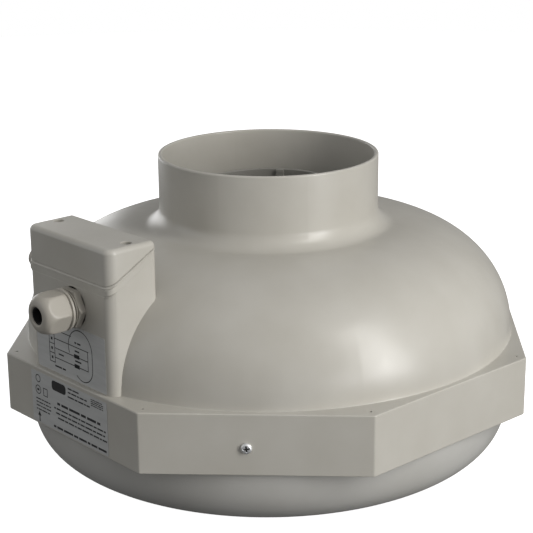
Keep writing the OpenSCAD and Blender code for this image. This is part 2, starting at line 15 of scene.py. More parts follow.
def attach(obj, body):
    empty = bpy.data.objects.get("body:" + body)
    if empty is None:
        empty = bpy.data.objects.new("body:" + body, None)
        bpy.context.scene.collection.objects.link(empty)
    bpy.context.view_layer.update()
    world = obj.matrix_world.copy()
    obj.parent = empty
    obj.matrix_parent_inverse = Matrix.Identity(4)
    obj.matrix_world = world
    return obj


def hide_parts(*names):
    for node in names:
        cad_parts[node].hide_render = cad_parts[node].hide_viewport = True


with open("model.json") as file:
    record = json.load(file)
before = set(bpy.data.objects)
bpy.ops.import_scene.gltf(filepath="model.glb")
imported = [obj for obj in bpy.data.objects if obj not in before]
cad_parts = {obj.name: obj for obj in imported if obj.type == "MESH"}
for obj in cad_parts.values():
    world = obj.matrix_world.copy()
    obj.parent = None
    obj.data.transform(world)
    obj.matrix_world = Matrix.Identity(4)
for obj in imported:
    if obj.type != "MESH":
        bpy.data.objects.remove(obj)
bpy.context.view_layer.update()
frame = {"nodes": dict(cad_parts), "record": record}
MM = 0.001

# ---------- sizes shared by several pieces ----------

SPIGOT_R = 79.0
WALL = 3.0
TOTAL_H = 248.0
HALF_FLATS = 180.5
FLANGE_Z = 120.0
SKIRT_Z = 78.0
CORNER_ROUND = 2.5
NECK_R = 88.0
FILLET_R = 12.0
FILLET_X = SPIGOT_R + FILLET_R
DOME = {"width": 88.8, "height": 76.9, "power": (2.16, 2.1)}
BOWL = {"width": 88.8, "height": 75.0, "power": (2.24, 4.93)}
BOWL_WALL_Z = 100.5
RIM_Z = 114.0
SCREW_Z = 97.0
SCREW_SHIFT = -6.0
FLANGE_HOLE_R = 188.1
INLET_SEAT_Z = 29.2
INLET_SHEET = 2.5
INLET_SCREW_R = 102.0

BOX_HALF_W = 46.0
BOX_FRONT_Y = -177.2
BOX_BACK_Y = -139.0
BOX_TOP_Z = 218.5
BOX_WALL = 2.5
PARTING_Z = 193.7
PARTING_SLOPE = 0.54
SEAM = 0.3
LID_SCREWS = [(-37.5, -156.3), (37.5, -156.3)]
BOX_SCREWS = [(-26.0, -146.0), (26.0, -146.0)]
LID_SEAT_Z = 211.0
BOX_SEAT_Z = 187.0
LEAD_HOLE = (-8.0, -148.0)
GLAND = Vector((6.0, BOX_FRONT_Y, 173.0))
PLUG = Vector((-BOX_HALF_W, -166.0, 192.0))

CARRIER_Z = 136.0
HUB_R = 50.0
HUB_TOP_Z = 224.0
BACKPLATE_Z = 118.0
IMPELLER_R = 112.0
TAB_LOW_Z = 138.0
TAB_HIGH_Z = 142.0
TAB_SCREW_R = 150.0
MOTOR_SCREW_R = 33.0
WHEEL_SCREW_R = 57.0


# ---------- outlines ----------

def arc(cx, cy, radius, start, end, steps):
    """Points along a circular arc, with its angles in degrees."""
    turns = [math.radians(start + (end - start) * i / steps) for i in range(steps + 1)]
    return [(cx + radius * math.cos(a), cy + radius * math.sin(a)) for a in turns]


def rounded(corners, steps=6):
    """Closed outline through corners (x, y, radius), with a fillet at each."""
    outline = []
    for i, (x, y, radius) in enumerate(corners):
        at = Vector((x, y))
        before = (Vector(corners[i - 1][:2]) - at).normalized()
        after = (Vector(corners[(i + 1) % len(corners)][:2]) - at).normalized()
        half = before.angle(after) / 2
        centre = at + (before + after).normalized() * (radius / math.sin(half))
        start = (at + before * (radius / math.tan(half)) - centre).normalized()
        end = (at + after * (radius / math.tan(half)) - centre).normalized()
        outline += [tuple(centre + radius * start.slerp(end, k / steps)) for k in range(steps + 1)]
    return outline


def crown(size, inset, steps=40):
    """Quarter of a superellipse as (radius, rise), from its widest point to its top."""
    points = []
    for i in range(steps + 1):
        t = math.radians(90 * i / steps)
        radius = NECK_R + (size["width"] - inset) * math.cos(t) ** (2 / size["power"][0])
        rise = (size["height"] - inset) * math.sin(t) ** (2 / size["power"][1])
        if radius > FILLET_X + 0.5:
            points.append((radius, rise))
    return points


# ---------- shapes ----------

def loft(rings, closed=False):
    """Skin over rings of equal point count; an open loft gets flat ends."""
    count = len(rings[0])
    verts = [Vector(p) for ring in rings for p in ring]
    faces = []
    for i in range(len(rings) if closed else len(rings) - 1):
        a, b = i * count, (i + 1) % len(rings) * count
        for k in range(count):
            m = (k + 1) % count
            faces.append((a + k, a + m, b + m, b + k))
    if not closed:
        faces.append(tuple(range(count - 1, -1, -1)))
        faces.append(tuple(range(len(verts) - count, len(verts))))
    return verts, faces


def flat_ring(outline, z):
    return [(x, y, z) for x, y in outline]


def circle(radius, z, segments):
    return flat_ring(arc(0, 0, radius, 0, 360, segments)[:-1], z)


def lathe(profile, segments=96, closed=True):
    """Solid of revolution about Z from (radius, z) points."""
    return loft([circle(r, z, segments) for r, z in profile], closed)


def rod(radius, z0, z1, segments=32):
    return lathe([(radius, z0), (radius, z1)], segments, closed=False)


def tube(outer, inner, z0, z1, edge=0.3, segments=96):
    """Ring of rectangular section with slightly rounded edges."""
    section = [(outer, z0, edge), (outer, z1, edge), (inner, z1, edge), (inner, z0, edge)]
    return lathe(rounded(section, 3), segments)


def prism(outline, z0, z1):
    return loft([flat_ring(outline, z0), flat_ring(outline, z1)])


def block(low, high):
    (x0, y0, z0), (x1, y1, z1) = low, high
    return prism([(x0, y0), (x1, y0), (x1, y1), (x0, y1)], z0, z1)


def merged(*shapes):
    verts, faces = [], []
    for part_verts, part_faces in shapes:
        start = len(verts)
        verts += part_verts
        faces += [tuple(start + i for i in face) for face in part_faces]
    return verts, faces


def moved(shape, matrix):
    return [matrix @ v for v in shape[0]], shape[1]


def shift(x, y, z):
    return Matrix.Translation((x, y, z))


def turn(angle, axis="Z"):
    return Matrix.Rotation(math.radians(angle), 4, axis)


def around(shape, count, radius, start=0):
    """Copies of a shape on a circle about Z, each turned with its place."""
    places = [turn(start + 360 * k / count) @ shift(radius, 0, 0) for k in range(count)]
    return merged(*(moved(shape, place) for place in places))


def at_points(shape, points):
    return merged(*(moved(shape, shift(x, y, 0)) for x, y in points))


def raw_object(name, shape, scale=1.0):
    """Links an object for a shape, with its normals facing outwards."""
    mesh = bpy.data.meshes.new(name)
    mesh.from_pydata([v * scale for v in shape[0]], [], shape[1])
    tidy = bmesh.new()
    tidy.from_mesh(mesh)
    bmesh.ops.remove_doubles(tidy, verts=tidy.verts, dist=1e-4 * scale)
    bmesh.ops.recalc_face_normals(tidy, faces=tidy.faces)
    tidy.to_mesh(mesh)
    tidy.free()
    obj = bpy.data.objects.new(name, mesh)
    bpy.context.scene.collection.objects.link(obj)
    return obj


def combined(operation, shape, *others):
    """Exact boolean of a shape with others that don't overlap each other."""
    target = raw_object("target", shape)
    tool = raw_object("tool", merged(*others))
    modifier = target.modifiers.new("boolean", "BOOLEAN")
    modifier.operation = operation
    modifier.solver = "EXACT"
    modifier.object = tool
    result = target.evaluated_get(bpy.context.evaluated_depsgraph_get()).to_mesh()
    verts = [v.co.copy() for v in result.vertices]
    faces = [tuple(p.vertices) for p in result.polygons]
    for obj in (target, tool):
        mesh = obj.data
        bpy.data.objects.remove(obj)
        bpy.data.meshes.remove(mesh)
    return verts, faces


def carve(shape, *cutters):
    return combined("DIFFERENCE", shape, *cutters)


def weld(shape, *others):
    return combined("UNION", shape, *others)


def common(shape, *others):
    return combined("INTERSECT", shape, *others)


def softened(shape, width, segments=2, angle=50):
    """Shape with its sharp edges rounded."""
    work = bmesh.new()
    verts = [work.verts.new(v) for v in shape[0]]
    for face in shape[1]:
        work.faces.new([verts[i] for i in face])
    bmesh.ops.recalc_face_normals(work, faces=work.faces)
    limit = math.radians(angle)
    edges = [e for e in work.edges if e.is_manifold and e.calc_face_angle() > limit]
    bmesh.ops.bevel(
        work, geom=edges, offset=width, offset_type="OFFSET", segments=segments,
        profile=0.5, affect="EDGES", clamp_overlap=True,
    )
    work.verts.index_update()
    result = [v.co.copy() for v in work.verts], [tuple(v.index for v in f.verts) for f in work.faces]
    work.free()
    return result


def smooth_path(points, steps):
    """Catmull-Rom curve through points."""
    points = [Vector(p) for p in points]
    route = []
    for i in range(len(points) - 1):
        a, b = points[max(i - 1, 0)], points[i]
        c, d = points[i + 1], points[min(i + 2, len(points) - 1)]
        for k in range(steps):
            t = k / steps
            cubic = (3 * b - 3 * c + d - a) * t ** 3
            square = (2 * a - 5 * b + 4 * c - d) * t ** 2
            route.append((2 * b + (c - a) * t + square + cubic) / 2)
    return route + [points[-1]]


def sweep(points, radius, steps=8, sides=16):
    """Round cable along a smooth route."""
    route = smooth_path(points, steps)
    side = Vector((1, 0, 0))
    rings = []
    for i, at in enumerate(route):
        ahead = (route[min(i + 1, len(route) - 1)] - route[max(i - 1, 0)]).normalized()
        side = ahead.cross(side).cross(ahead).normalized() if abs(ahead.dot(side)) < 0.999 else side
        up = ahead.cross(side)
        rings.append([at + radius * (math.cos(a) * side + math.sin(a) * up)
                      for a in (2 * math.pi * k / sides for k in range(sides))])
    return loft(rings)


# ---------- materials ----------

class Graph:
    """Node tree of a new material, with a shader that has its fixed values set."""

    def __init__(self, name, color, roughness, metallic=0.0):
        self.material = bpy.data.materials.new(name)
        self.material.use_nodes = True
        self.tree = self.material.node_tree
        self.shader = self.tree.nodes["Principled BSDF"]
        self.shader.inputs["Base Color"].default_value = (*color, 1)
        self.shader.inputs["Roughness"].default_value = roughness
        self.shader.inputs["Metallic"].default_value = metallic
        self.place = self.add("ShaderNodeTexCoord").outputs["Object"]

    def add(self, kind, **settings):
        node = self.tree.nodes.new(kind)
        for key, value in settings.items():
            setattr(node, key, value)
        return node

    def link(self, output, socket):
        self.tree.links.new(output, socket)

    def stretched(self, scale):
        """Object coordinates scaled per axis, so that a texture gets a direction."""
        mapping = self.add("ShaderNodeMapping")
        mapping.inputs["Scale"].default_value = scale
        self.link(self.place, mapping.inputs["Vector"])
        return mapping.outputs["Vector"]

    def noise(self, size_mm, detail=3.0, vector=None):
        """Noise whose features are about size_mm across."""
        node = self.add("ShaderNodeTexNoise")
        node.inputs["Scale"].default_value = 1000 / size_mm
        node.inputs["Detail"].default_value = detail
        self.link(vector or self.place, node.inputs["Vector"])
        return node.outputs["Fac"]

    def blended(self, factor, low, high, start=0.3, end=0.7):
        """Two colours mixed by a factor, between two of its values."""
        ramp = self.add("ShaderNodeValToRGB")
        ramp.color_ramp.elements[0].position = start
        ramp.color_ramp.elements[1].position = end
        ramp.color_ramp.elements[0].color = (*low, 1)
        ramp.color_ramp.elements[1].color = (*high, 1)
        self.link(factor, ramp.inputs["Fac"])
        return ramp.outputs["Color"]

    def ranged(self, factor, low, high):
        node = self.add("ShaderNodeMapRange")
        node.inputs["To Min"].default_value = low
        node.inputs["To Max"].default_value = high
        self.link(factor, node.inputs["Value"])
        return node.outputs["Result"]

    def bump(self, height, depth_mm, strength=1.0, below=None):
        node = self.add("ShaderNodeBump")
        node.inputs["Distance"].default_value = depth_mm * MM
        node.inputs["Strength"].default_value = strength
        self.link(height, node.inputs["Height"])
        if below:
            self.link(below, node.inputs["Normal"])
        return node.outputs["Normal"]


WAVE_MM = 314.16  # what a wave texture of scale 1 repeats at, in metre coordinates


def tint(color, factor):
    return tuple(min(1.0, c * factor) for c in color)


def moulded(name, color, roughness, grain_mm=0.7, depth_mm=0.012, spread=0.05):
    """Satin moulded plastic: fine eroded grain, faint cloudiness and uneven gloss."""
    g = Graph(name, color, roughness)
    cloud = g.noise(46, 4)
    warm = (1.0, 0.992, 0.975)
    low = tuple(c * w for c, w in zip(tint(color, 1 - spread), warm))
    g.link(g.blended(cloud, low, tint(color, 1 + spread)), g.shader.inputs["Base Color"])
    g.link(g.ranged(g.noise(9, 5), roughness - 0.05, roughness + 0.07), g.shader.inputs["Roughness"])
    wave = g.bump(g.noise(28, 2), 0.05, 0.6)
    g.link(g.bump(g.noise(grain_mm, 3), depth_mm, 0.8, wave), g.shader.inputs["Normal"])
    return g.material


def metal(name, color, roughness, scale=(1, 1, 6), spread=0.12, depth_mm=0.006):
    """Bare or plated metal with drawn lines along one axis and stained patches."""
    g = Graph(name, color, roughness, 1.0)
    lines = g.noise(2.5, 4, g.stretched(scale))
    patches = g.noise(11, 5)
    g.link(g.blended(patches, tint(color, 1 - spread), color, 0.25, 0.6), g.shader.inputs["Base Color"])
    g.link(g.ranged(patches, roughness - 0.06, roughness + 0.12), g.shader.inputs["Roughness"])
    g.link(g.bump(lines, depth_mm), g.shader.inputs["Normal"])
    return g.material


def rubbery(name, color, roughness=0.75):
    """Matt rubber or cable sheath with a dusty bloom."""
    g = Graph(name, color, roughness)
    g.link(g.blended(g.noise(7, 5), color, tint(color, 1.9), 0.4, 0.8), g.shader.inputs["Base Color"])
    g.link(g.ranged(g.noise(3, 3), roughness - 0.1, roughness + 0.1), g.shader.inputs["Roughness"])
    g.link(g.bump(g.noise(0.5, 3), 0.02), g.shader.inputs["Normal"])
    return g.material


def layered(name, color, roughness, band_mm, axis="Z", metallic=1.0, dark=0.45):
    """Stacked sheets or wound wire: a light and a dark band in every band_mm."""
    g = Graph(name, color, roughness, metallic)
    wave = g.add("ShaderNodeTexWave", wave_type="BANDS", bands_direction=axis)
    wave.inputs["Scale"].default_value = WAVE_MM / band_mm
    wave.inputs["Distortion"].default_value = 0.4
    g.link(g.place, wave.inputs["Vector"])
    bands = g.blended(wave.outputs["Fac"], tint(color, dark), color, 0.1, 0.5)
    g.link(bands, g.shader.inputs["Base Color"])
    g.link(g.ranged(g.noise(5, 4), roughness - 0.08, roughness + 0.1), g.shader.inputs["Roughness"])
    g.link(g.bump(wave.outputs["Fac"], 0.12), g.shader.inputs["Normal"])
    return g.material


def printed_film(name, color, roughness=0.42):
    """Silver sticker: a thin film with a faint brushed grain that lifts in shallow waves."""
    g = Graph(name, color, roughness, 0.2)
    streak = g.noise(3, 4, g.stretched((0.15, 1, 1)))
    g.link(g.blended(streak, tint(color, 0.93), tint(color, 1.05)), g.shader.inputs["Base Color"])
    g.link(g.ranged(streak, roughness - 0.05, roughness + 0.08), g.shader.inputs["Roughness"])
    g.link(g.bump(g.noise(14, 2), 0.05, 0.5), g.shader.inputs["Normal"])
    return g.material


def inked(name, color):
    """Printing ink, slightly broken up where the press laid it thin."""
    g = Graph(name, color, 0.5)
    g.link(g.blended(g.noise(0.6, 4), color, tint(color, 2.6), 0.5, 0.85), g.shader.inputs["Base Color"])
    return g.material


CASING_GREY = (0.470, 0.455, 0.415)
MATERIALS = {
    "casing_plastic": moulded("casing_plastic", CASING_GREY, 0.31),
    "bowl_plastic": moulded("bowl_plastic", (0.46, 0.455, 0.435), 0.42),
    "carrier_plastic": moulded("carrier_plastic", (0.23, 0.225, 0.205), 0.5, 0.9, 0.02),
    "impeller_plastic": moulded("impeller_plastic", (0.055, 0.055, 0.058), 0.38, 0.8, 0.02, 0.2),
    "gland_plastic": moulded("gland_plastic", (0.40, 0.378, 0.335), 0.36, 0.5, 0.008, 0.04),
    "rubber": rubbery("rubber", (0.014, 0.014, 0.014)),
    "zinc_steel": metal("zinc_steel", (0.90, 0.91, 0.92), 0.48),
    "spring_steel": metal("spring_steel", (0.48, 0.48, 0.50), 0.3, (1, 1, 9)),
    "rotor_paint": moulded("rotor_paint", (0.05, 0.05, 0.053), 0.45, 1.4, 0.05, 0.25),
    "lamination": layered("lamination", (0.32, 0.32, 0.34), 0.42, 5.0),
    "motor_casting": metal("motor_casting", (0.58, 0.59, 0.60), 0.5, (1, 1, 1), 0.2, 0.05),
    "copper": layered("copper", (0.62, 0.24, 0.09), 0.32, 7.0, "X"),
    "terminal_plastic": moulded("terminal_plastic", (0.74, 0.73, 0.66), 0.4, 0.6, 0.01, 0.04),
    "brass": metal("brass", (0.74, 0.55, 0.26), 0.3, (1, 1, 3)),
    "capacitor_shell": moulded("capacitor_shell", (0.70, 0.70, 0.66), 0.35, 0.6, 0.01, 0.03),
    "label": printed_film("label", (0.52, 0.525, 0.52)),
    "cable_sheath": rubbery("cable_sheath", (0.018, 0.018, 0.020), 0.6),
    "wire_insulation": rubbery("wire_insulation", (0.02, 0.07, 0.28), 0.45),
}
INK = inked("label_ink", (0.012, 0.012, 0.013))

# Every CAD mesh gets its slot's material, which shows on the nodes that no piece replaces.
for part in frame["record"]["subparts"]:
    cad_mesh = frame["nodes"][part["node"]].data
    cad_mesh.materials.clear()
    cad_mesh.materials.append(MATERIALS[part["material_slot"]])


def piece(name, shape, body, slot, *nodes, angle=32, material=None):
    """Finished object for a shape: smooth between its sharp edges, on its body."""
    obj = raw_object(name, shape, MM)
    obj.data.materials.append(material or MATERIALS[slot])
    obj.data.shade_smooth()
    obj.data.set_sharp_from_angle(angle=math.radians(angle))
    normals = obj.modifiers.new("normals", "WEIGHTED_NORMAL")
    normals.keep_sharp = True
    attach(obj, body)
    if nodes:
        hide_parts(*nodes)
    return obj


# ---------- screws ----------

def pan_screw(head_r, head_h, shank_r, length, pitch=1.1):
    """Pan-head screw with a cross recess, its head's underside at z = 0."""
    profile = [(0.15, -length), (shank_r * 0.72, -length + 1.4)]
    z = -length + 1.6
    while z < -1.2:
        profile += [(shank_r * 0.78, z), (shank_r, z + pitch * 0.45), (shank_r, z + pitch * 0.55)]
        z += pitch
    profile += [(shank_r * 0.8, -0.6), (shank_r * 0.8, 0.0)]
    profile += [(head_r - 0.2, 0.0), (head_r, 0.2), (head_r, head_h * 0.4)]
    rise = head_h * 0.6
    for a in (20, 40, 58, 74, 86):
        t = math.radians(a)
        profile.append((head_r * (0.52 + 0.48 * math.cos(t)), head_h * 0.4 + rise * math.sin(t)))
    profile.append((head_r * 0.1, head_h))
    body = lathe(profile, 40, closed=False)
    reach, width, depth = head_r * 0.66, head_r * 0.17, min(head_h * 0.8, 1.8)
    for angle in (0, 90):
        rings = []
        for s, z in ((0.45, head_h - depth), (1.0, head_h + 0.02), (1.05, head_h + 0.6)):
            x, y = reach * s, width * (0.6 + 0.4 * s)
            rings.append([(-x, -y, z), (x, -y, z), (x, y, z), (-x, y, z)])
        body = carve(body, moved(loft(rings), turn(angle)))
    return body


def screwed_in(shape, places, tilt=0):
    """A copy of a shape at each screw's place, every one tightened to another angle."""
    return merged(*(moved(shape, place @ turn(tilt + 37 * k)) for k, place in enumerate(places)))


def screw_piece(name, screw, places, body="casing", tilt=0):
    """One object for all the copies of a screw."""
    return piece(name + "_detail", screwed_in(screw, places, tilt), body, "zinc_steel", name, angle=28)


def ring_places(count, radius, start, z, flip=False):
    """Places on a circle about Z, with the screws' heads up, or down where flip is set."""
    last = turn(180, "X") if flip else Matrix.Identity(4)
    return [turn(start + 360 * k / count) @ shift(radius, 0, z) @ last for k in range(count)]


casing_screw_places = [
    turn(-45 + 90 * k) @ shift(HALF_FLATS, SCREW_SHIFT, SCREW_Z) @ turn(90, "Y") for k in range(4)
]
lid_screw_places = [shift(x, y, LID_SEAT_Z) for x, y in LID_SCREWS]
box_screw_places = [shift(x, y, BOX_SEAT_Z) for x, y in BOX_SCREWS]
carrier_screw_places = ring_places(4, TAB_SCREW_R, 45, TAB_LOW_Z, flip=True)
motor_screw_places = ring_places(4, MOTOR_SCREW_R, 45, CARRIER_Z + 3)
wheel_screw_places = ring_places(6, WHEEL_SCREW_R, 0, 123)
inlet_screw_places = ring_places(4, INLET_SCREW_R, 0, INLET_SEAT_Z + INLET_SHEET)

CASING_SCREW_TILT = 8
screw_piece("casing_screws", pan_screw(3.6, 2.2, 1.9, 16), casing_screw_places, tilt=CASING_SCREW_TILT)
# Dark crosses sunk just below the casing screws' cross recesses: painted shade for the shadow inside the
# recesses.
recess_shade_cross = merged(block((-2.1, -0.5, 0.5), (2.1, 0.5, 1.7)), block((-0.5, -2.1, 0.5), (0.5, 2.1, 1.7)))
piece("casing_screw_slot_shade", screwed_in(recess_shade_cross, casing_screw_places, CASING_SCREW_TILT),
      "casing", "zinc_steel", material=rubbery("slot_painted_shade", (0.02, 0.02, 0.02)))
screw_piece("lid_screws", pan_screw(3.2, 2.0, 1.75, 24), lid_screw_places, "lid")
screw_piece("box_screws", pan_screw(3.2, 2.0, 1.55, 20), box_screw_places)
screw_piece("carrier_screws", pan_screw(4.0, 2.4, 1.75, 14), carrier_screw_places)
screw_piece("motor_screws", pan_screw(3.8, 2.4, 1.75, 8), motor_screw_places)
screw_piece("impeller_screws", pan_screw(3.0, 1.8, 1.65, 8), wheel_screw_places, "rotor")
screw_piece("inlet_ring_screws", pan_screw(3.0, 1.8, 1.6, 4.2, 0.9), inlet_screw_places)


# ---------- casing ----------

SIDE_STEPS = 18


def octagon_ring(apothem, z):
    """Octagon with flats on the axes, rounded corners and evenly divided sides."""
    reach = (apothem - CORNER_ROUND) / math.cos(math.radians(22.5))
    corners = []
    for k in range(8):
        a = 22.5 + 45 * k
        cx, cy = reach * math.cos(math.radians(a)), reach * math.sin(math.radians(a))
        corners.append(arc(cx, cy, CORNER_ROUND, a - 22.5, a + 22.5, 4))
    ring = []
    for k in range(8):
        ring += corners[k]
        start, end = Vector(corners[k][-1]), Vector(corners[(k + 1) % 8][0])
        ring += [tuple(start.lerp(end, i / SIDE_STEPS)) for i in range(1, SIDE_STEPS)]
    return flat_ring(ring, z)


AZIMUTHS = [math.atan2(y, x) for x, y, _ in octagon_ring(HALF_FLATS, 0)]


def round_ring(radius, z):
    """Circle whose points lie in line with those of octagon_ring."""
    return [(radius * math.cos(a), radius * math.sin(a), z) for a in AZIMUTHS]


def dome_solid(inset, low=100.0, high=260.0):
    """Everything inside the dome and the outlet spigot, set in by inset."""
    profile = [(crown(DOME, inset)[0][0], low)]
    profile += [(r, FLANGE_Z + z) for r, z in crown(DOME, inset)]
    centre = FLANGE_Z + DOME["height"] + FILLET_R
    profile += arc(FILLET_X, centre, FILLET_R + inset, -90, -180, 9)
    profile.append((SPIGOT_R - inset, high))
    return lathe(profile, 152, closed=False)


def casing_screw_rods(radius, start, end):
    along = moved(rod(radius, start, end, 24), turn(90, "Y"))
    return merged(*(moved(along, turn(-45 + 90 * k) @ shift(0, SCREW_SHIFT, SCREW_Z)) for k in range(4)))


def upper_casing_shape():
    lip, edge = 1.2, 1.0
    inner_r = SPIGOT_R - WALL
    fillet_z = FLANGE_Z + DOME["height"] + FILLET_R
    outside = arc(inner_r + lip, TOTAL_H - lip, lip, 180, 90, 4)
    outside += arc(SPIGOT_R - lip, TOTAL_H - lip, lip, 90, 0, 4)
    outside += [(SPIGOT_R, 236), (SPIGOT_R, 222)]
    outside += arc(FILLET_X, fillet_z, FILLET_R, 180, 270, 10)
    outside += [(r, FLANGE_Z + z) for r, z in reversed(crown(DOME, 0)[1:])]
    outside += [(176.8, 121.0), (177.0, 120.35), (177.7, FLANGE_Z)]
    rings = [round_ring(r, z) for r, z in outside]
    rim = arc(HALF_FLATS - edge, FLANGE_Z - edge, edge, 90, 0, 4)
    foot = arc(HALF_FLATS - 0.8, SKIRT_Z + 0.8, 0.8, 0, -90, 3)
    foot += arc(HALF_FLATS - WALL + 0.8, SKIRT_Z + 0.8, 0.8, -90, -180, 3)
    under = [(HALF_FLATS - WALL, 115.5), (HALF_FLATS - WALL - 1.5, FLANGE_Z - WALL)]
    rings += [octagon_ring(a, z) for a, z in rim + foot + under]
    inside = [(173.8, FLANGE_Z - WALL)] + [(r, FLANGE_Z + z) for r, z in crown(DOME, WALL)]
    inside += arc(FILLET_X, fillet_z, FILLET_R + WALL, 270, 180, 10)
    rings += [round_ring(r, z) for r, z in inside + [(inner_r, 232)]]
    shell = loft(rings, closed=True)
    lugs = around(rod(5, TAB_HIGH_Z, 182, 24), 4, TAB_SCREW_R, 45)
    posts = at_points(rod(4, 164, 186, 24), BOX_SCREWS)
    shell = weld(shell, common(dome_solid(0.5), lugs, posts))
    return carve(
        shell,
        around(rod(1, 114, 122, 20), 8, FLANGE_HOLE_R, 22.5),
        casing_screw_rods(2.2, 172, 184),
        around(rod(1.8, 140, 156, 20), 4, TAB_SCREW_R, 45),
        at_points(rod(1.6, 158, 192, 20), BOX_SCREWS),
        at_points(rod(4.6, 158, 192, 24), [LEAD_HOLE]),
    )


def lower_casing_shape():
    lip = 1.2
    inner_r = SPIGOT_R - WALL
    fillet_z = BOWL_WALL_Z - BOWL["height"] - FILLET_R
    profile = arc(173.8 + 0.8, RIM_Z - 0.8, 0.8, 180, 90, 3) + arc(176.0, RIM_Z - 0.8, 0.8, 90, 0, 3)
    profile += [(r, BOWL_WALL_Z - z) for r, z in crown(BOWL, 0)]
    profile += arc(FILLET_X, fillet_z, FILLET_R, 90, 180, 10)
    profile += arc(SPIGOT_R - lip, lip, lip, 0, -90, 4) + arc(inner_r + lip, lip, lip, -90, -180, 4)
    profile += arc(FILLET_X, fillet_z, FILLET_R + WALL, 180, 90, 10)
    profile += [(r, BOWL_WALL_Z - z) for r, z in reversed(crown(BOWL, WALL))]
    shell = lathe(profile, 160)
    band = lathe([(100, 60), (176.3, 60), (176.3, 112), (100, 112)], 160)
    bosses = common(band, casing_screw_rods(5, 164, 186))
    seats = around(rod(4, 27, INLET_SEAT_Z, 24), 4, INLET_SCREW_R)
    shell = weld(shell, bosses, seats)
    pilots = around(rod(1.65, 27.2, 30, 20), 4, INLET_SCREW_R)
    return carve(shell, casing_screw_rods(1.95, 160, 186), pilots)


piece("upper_casing_detail", upper_casing_shape(), "casing", "casing_plastic",
      "upper_casing", "casing_skirt", "outlet_spigot")
piece("lower_casing_detail", lower_casing_shape(), "casing", "bowl_plastic", "lower_casing")


# ---------- terminal box ----------

def box_outline(inset, front=7.0, back=3.0):
    """Plan outline of the terminal box."""
    x, y0, y1 = BOX_HALF_W - inset, BOX_FRONT_Y + inset, BOX_BACK_Y - inset
    front, back = max(front - inset, 0.4), max(back - inset, 0.4)
    return rounded([(x, y0, front), (x, y1, back), (-x, y1, back), (-x, y0, front)], 7)


def sloped(outline, offset):
    """Ring on a plane parallel to the sloping joint of the lid."""
    return [(x, y, PARTING_Z + PARTING_SLOPE * (y - BOX_FRONT_Y) + offset) for x, y in outline]


def terminal_box_shape():
    foot = [flat_ring(box_outline(0), 119.9), sloped(box_outline(0), -1.7)]
    lip_points = ((-0.4, -1.2), (-0.4, -0.55), (0.3, 0.0), (1.0, 0.1))
    outer = loft(foot + [sloped(box_outline(inset), rise) for inset, rise in lip_points])
    for low, high, front in ((-5.6, -1.6, 4.6), (-6.9, -6.1, 5.8)):
        wide = box_outline(-0.07, front)
        narrow = box_outline(0.2, front)
        outer = weld(outer, loft([
            sloped(narrow, low), sloped(wide, low + 0.25), sloped(wide, high - 0.25), sloped(narrow, high),
        ]))
    hollow = carve(loft([flat_ring(box_outline(BOX_WALL), 122.5), sloped(box_outline(BOX_WALL), 12)]),
                   dome_solid(-BOX_WALL))
    box = carve(outer, hollow)
    posts = merged(
        at_points(rod(5.2, 122, 230, 32), LID_SCREWS),
        at_points(rod(4.5, 176, BOX_SEAT_Z, 28), BOX_SCREWS),
        block((-30, -169, 122), (-6, -157, 190)),
        block((10, -161, 122), (20, -153, 188)),
    )
    limits = loft([flat_ring(box_outline(1), 121), sloped(box_outline(1), -0.6)])
    box = weld(box, common(limits, posts))
    into_gland = Matrix.Translation(GLAND) @ turn(90, "X")
    into_plug = Matrix.Translation(PLUG) @ turn(-90, "Y")
    return carve(carve(box, dome_solid(-0.03)),
                 at_points(rod(2.1, 180, 230, 24), LID_SCREWS),
                 at_points(rod(1.9, 165, 190, 24), BOX_SCREWS),
                 at_points(rod(4.6, 160, 192, 24), [LEAD_HOLE]),
                 moved(rod(10.1, -9.5, 1, 48), into_gland),
                 moved(rod(4.1, -4.5, 1, 32), into_plug))


def box_lid_shape():
    edge = 3.5
    rim = ((0.5, 0), (0.15, 0.15), (0, 0.5))
    rings = [sloped(box_outline(inset), SEAM + rise) for inset, rise in rim]
    for a in range(0, 91, 15):
        t = math.radians(a)
        outline = box_outline(edge * (1 - math.cos(t)))
        rings.append(flat_ring(outline, BOX_TOP_Z - edge + edge * math.sin(t)))
    inside = box_outline(BOX_WALL)
    inner = loft([sloped(inside, -20), flat_ring(inside, BOX_TOP_Z - BOX_WALL)])
    lid = carve(loft(rings), inner)
    bosses = common(loft([sloped(box_outline(1), SEAM), flat_ring(box_outline(1), BOX_TOP_Z - 1)]),
                    at_points(rod(5.5, 180, 217, 32), LID_SCREWS))
    lid = weld(lid, bosses)
    pocket = lathe([(3.5, LID_SEAT_Z), (3.5, 218.1), (4.0, 218.6), (4.0, 220)], 40, closed=False)
    lid = carve(lid, at_points(pocket, LID_SCREWS))
    groove = carve(loft([sloped(box_outline(0.8), -1), sloped(box_outline(0.8), 1.5)]),
                   loft([sloped(box_outline(1.8), -2), sloped(box_outline(1.8), 3)]))
    return carve(carve(lid, at_points(rod(2.1, 180, 212, 24), LID_SCREWS)), groove)


piece("terminal_box_detail", terminal_box_shape(), "casing", "casing_plastic", "terminal_box")
piece("box_lid_detail", box_lid_shape(), "lid", "casing_plastic", "box_lid")


# ---------- cable gland and plug ----------

def hexed(profile, flats=25.0, segments=120, softness=0.35):
    """Closed lathe of (radius, z, is_hex) points, cut to a hexagon where is_hex is set."""
    rings = []
    for radius, z, is_hex in profile:
        ring = []
        for k in range(segments):
            a = 360 * k / segments
            side = flats / 2 / math.cos(math.radians(a % 60 - 30))
            reach = radius
            if is_hex:
                gap = max(softness - abs(side - radius), 0) / softness
                reach = min(side, radius) - gap * gap * softness / 4
            ring.append((reach * math.cos(math.radians(a)), reach * math.sin(math.radians(a)), z))
        rings.append(ring)
    return loft(rings, closed=True)


def in_gland(shape):
    return moved(shape, Matrix.Translation(GLAND) @ turn(90, "X"))


